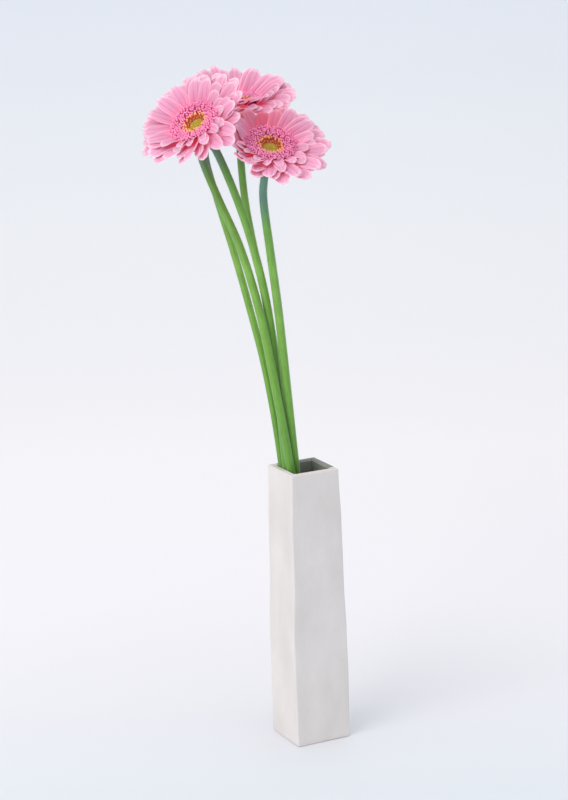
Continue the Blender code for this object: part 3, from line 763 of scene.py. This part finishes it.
def addHairs(bm, space, tint, skin, draw):
    # short pale hairs that stand off the upper stem
    h = hairSettings
    for _ in range(h["count"]):
        place = draw.uniform(h["start"], h["end"]) * (len(skin) - 1)
        point, side, other, radius, share, length = skin[int(place)]
        following = skin[int(place) + 1][0]
        base = point.lerp(following, place - int(place))
        angle = draw.uniform(0, 2 * pi)
        outward = side * cos(angle) + other * sin(angle)
        ahead = (following - point).normalized()
        lean = (outward + ahead * draw.uniform(*h["lean"])).normalized()
        first = len(bm.verts)
        bmesh.ops.create_cone(bm, cap_ends=True, segments=3, radius1=h["width"], radius2=h["point"],
                              depth=h["length"] * draw.uniform(*h["lengths"]))
        bm.verts.ensure_lookup_table()
        turn = lean.to_track_quat("Z", "Y").to_matrix()
        for v in bm.verts[first:]:
            v.co = base + outward * radius + turn @ (v.co + Vector((0, 0, h["length"] * h["stand"])))
            v[space] = (cos(angle), sin(angle), length)
            v[tint] = (share, noHeadShade, 0)


for gerbera in gerberas:
    buildStem(gerbera)


# Vase: a square tube of clay slabs

# wobble and dent: how far the surface strays, and over what length. shadeFoot and shadeLip: where the
# inside's darker clay, painted shade, starts above the base and ends below the rim. farSide and nearSide:
# the far rim's limits.
vaseSettings = dict(height=260.0, wall=6.0, floor=8.0, corner=3.6, levels=52, columns=12, inside=24,
                    seed=5, wobble=0.22, wobbleSize=26.0, dent=0.06, dentSize=9.0, shadeFoot=4,
                    shadeLip=3, rim=4, farSide=17, nearSide=-17.5)
wallShape = dict(  # half widths from base to mouth, at even heights
    left=[27.2, 27.2, 27.6, 25.3, 25.2, 24.0], right=[27.0, 27.9, 27.6, 26.2, 25.6, 24.0],
    front=[26.8, 26.2, 25.5, 25.0, 24.4, 24.0], back=[26.2, 25.4, 25.0, 25.8, 25.0, 24.0])


def curveValue(values, share):
    place = share * (len(values) - 1)
    i = min(int(place), len(values) - 2)
    t = smooth(place - i)
    return values[i] * (1 - t) + values[i + 1] * t


def wallPoint(across, along, height, inset):
    # the point of the vase's outline for across and along from -1 to 1
    share = height / vaseSettings["height"]
    sideways = curveValue(wallShape["right" if across > 0 else "left"], share) - inset
    depth = curveValue(wallShape["back" if along > 0 else "front"], share) - inset
    return Vector((across * sideways, along * depth, height))


def buildVase():
    s = vaseSettings
    bm = bmesh.new()
    bmesh.ops.create_cube(bm, size=2)
    upright = [e for e in bm.edges if abs(e.verts[0].co.z - e.verts[1].co.z) > 1]
    bmesh.ops.subdivide_edges(bm, edges=upright, cuts=s["levels"] - 1, use_grid_fill=True)
    for axis in (0, 1):
        flat = [e for e in bm.edges if abs(e.verts[0].co[axis] - e.verts[1].co[axis]) > 1.5]
        bmesh.ops.subdivide_edges(bm, edges=flat, cuts=s["columns"] - 1, use_grid_fill=True)
    bm.normal_update()
    for v in bm.verts:
        height = (v.co.z + 1) / 2 * s["height"]
        v.co = wallPoint(v.co.x, v.co.y, height, 0)
    top = [f for f in bm.faces if f.calc_center_median().z > s["height"] - 0.01]
    bmesh.ops.inset_region(bm, faces=top, thickness=s["wall"], use_even_offset=True)
    depth = s["height"] - s["floor"]
    height = s["height"]
    for k in range(s["inside"]):
        lower = s["height"] - depth * (k + 1) / s["inside"]
        made = bmesh.ops.extrude_face_region(bm, geom=top)["geom"]
        bmesh.ops.delete(bm, geom=top, context="FACES")
        top = [g for g in made if isinstance(g, bmesh.types.BMFace)]
        for v in [g for g in made if isinstance(g, bmesh.types.BMVert)]:
            here = wallPoint(1 if v.co.x > 0 else -1, 1 if v.co.y > 0 else -1, height, s["wall"])
            v.co = wallPoint(v.co.x / abs(here.x), v.co.y / abs(here.y), lower, s["wall"])
        height = lower
    bevelEdges = [e for e in bm.edges if len(e.link_faces) == 2 and e.calc_face_angle() > radians(50)]
    bmesh.ops.bevel(bm, geom=bevelEdges, offset=s["corner"], segments=5, profile=0.5, affect="EDGES",
                    material=-1, clamp_overlap=True)
    noise.seed_set(s["seed"])
    for v in bm.verts:
        push = noise.noise_vector(v.co / s["wobbleSize"]) * s["wobble"]
        push += noise.noise_vector(v.co / s["dentSize"]) * s["dent"]
        if v.co.z > 0.5:
            v.co += Vector((push.x, push.y, push.z * 0.6))
        v.co *= mm
    bmesh.ops.recalc_face_normals(bm, faces=bm.faces)
    for f in bm.faces:
        # the walls' inner faces, the floor and the far rim have the darker clay, painted shade inside the
        # vase
        c = f.calc_center_median() / mm
        facesIn = c.x * f.normal.x + c.y * f.normal.y < 0
        inner = facesIn and s["shadeFoot"] < c.z < s["height"] - s["shadeLip"]
        bottom = s["shadeFoot"] < c.z < s["floor"] + s["shadeFoot"] and f.normal.z > 0.5
        farRim = max(c.x, c.y) > s["farSide"] and min(c.x, c.y) > s["nearSide"]
        farRim = farRim and c.z > s["height"] - s["rim"] and f.normal.z > 0.3
        f.material_index = 1 if inner or bottom or farRim else 0
    piece = finishPiece(bm, "clayVase", [clayOutside, clayInsideShade], "ceramic", "vase")
    print("vase:", len(piece.data.polygons), "faces")


buildVase()
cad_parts["water"].data.materials.clear()
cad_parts["water"].data.materials.append(waterMaterial())
print("vase and water done")


# Stage, light and camera

sweepSettings = dict(flat=4.2, curve=1.4, total=7.0, before=2.6, halfWidth=8.0, drop=0.0002)  # metres


def buildStage():
    # floor that sweeps up into a backdrop
    s = sweepSettings
    bm = bmesh.new()
    bmesh.ops.create_grid(bm, x_segments=8, y_segments=90, size=1)
    share = bm.verts.layers.float.new("sweepShare")
    curve = s["curve"]
    for v in bm.verts:
        place = (v.co.y + 1) / 2 * s["total"]
        v[share] = place / s["total"]
        x = v.co.x * s["halfWidth"]
        beyond = place - s["flat"]
        if beyond < 0:
            v.co = Vector((x, place - s["before"], 0))
        elif beyond < curve * pi / 2:
            a = beyond / curve
            v.co = Vector((x, s["flat"] - s["before"] + curve * sin(a), curve * (1 - cos(a))))
        else:
            v.co = Vector((x, s["flat"] - s["before"] + curve, curve + beyond - curve * pi / 2))
    turn = Matrix.Rotation(radians(-frontTurn), 3, "Z")
    bmesh.ops.rotate(bm, verts=bm.verts, cent=(0, 0, 0), matrix=turn)
    bmesh.ops.translate(bm, verts=bm.verts, vec=(0, 0, -s["drop"]))
    mesh = bpy.data.meshes.new("sweep")
    bm.to_mesh(mesh)
    bm.free()
    mesh.shade_smooth()
    # paper colours along the sweep: painted light falloff
    mesh.materials.append(paperMaterial([
        (0.33, "#DDE3EA"), (0.353, "#E1E6EB"), (0.384, "#EAEAEE"), (0.426, "#F1EFF2"), (0.517, "#F8F5F5"),
        (0.606, "#F9F7F8"), (0.693, "#F2F3F5"), (0.767, "#E9EDF3"), (1.0, "#E2E8F0")]))
    sweep = bpy.data.objects.new("sweep", mesh)
    bpy.context.scene.collection.objects.link(sweep)


def addLight(name, place, size, power, colour, target=(0, 0, 0.35)):
    data = bpy.data.lights.new(name, "AREA")
    data.shape = "DISK"
    data.size = size
    data.energy = power
    data.color = hexColour(colour)[:3]
    made = bpy.data.objects.new(name, data)
    made.location = place
    made.rotation_mode = "QUATERNION"
    made.rotation_quaternion = (Vector(target) - Vector(place)).to_track_quat("-Z", "Y")
    bpy.context.scene.collection.objects.link(made)


def buildCamera():
    # 2.1 m away and a little above the flowers, looking down on them
    camera = dict(aside=-0.0156, back=-2.12, height=0.848, pitch=13.9, roll=-1.84, lens=108.0)
    data = bpy.data.cameras.new("camera")
    data.lens = camera["lens"]
    data.sensor_width = 36.0
    data.clip_start = 0.05
    data.clip_end = 50
    made = bpy.data.objects.new("camera", data)
    turn = Matrix.Rotation(radians(-frontTurn), 4, "Z")
    made.matrix_world = (turn @ Matrix.Translation((camera["aside"], camera["back"], camera["height"]))
                         @ Matrix.Rotation(radians(90 - camera["pitch"]), 4, "X")
                         @ Matrix.Rotation(radians(camera["roll"]), 4, "Z"))
    bpy.context.scene.collection.objects.link(made)
    bpy.context.scene.camera = made


world = bpy.data.worlds.new("softStudio")
world.use_nodes = True
world.node_tree.nodes["Background"].inputs["Color"].default_value = hexColour("#EDF1F7")
world.node_tree.nodes["Background"].inputs["Strength"].default_value = 0.76
bpy.context.scene.world = world
bpy.context.scene.view_settings.view_transform = "Standard"
buildStage()
addLight("softboxLeft", (-2.5, -1.0, 1.6), 2.6, 42, "#FFF8F2")
addLight("softboxTop", (0.0, 0.0, 3.0), 2.8, 26, "#FFFCFA")
addLight("softboxBackdrop", (1.2, 1.3, 2.9), 2.0, 2, "#FFFFFF", target=(1.5, 2.9, 0.5))
buildCamera()
print("stage, light and camera done")
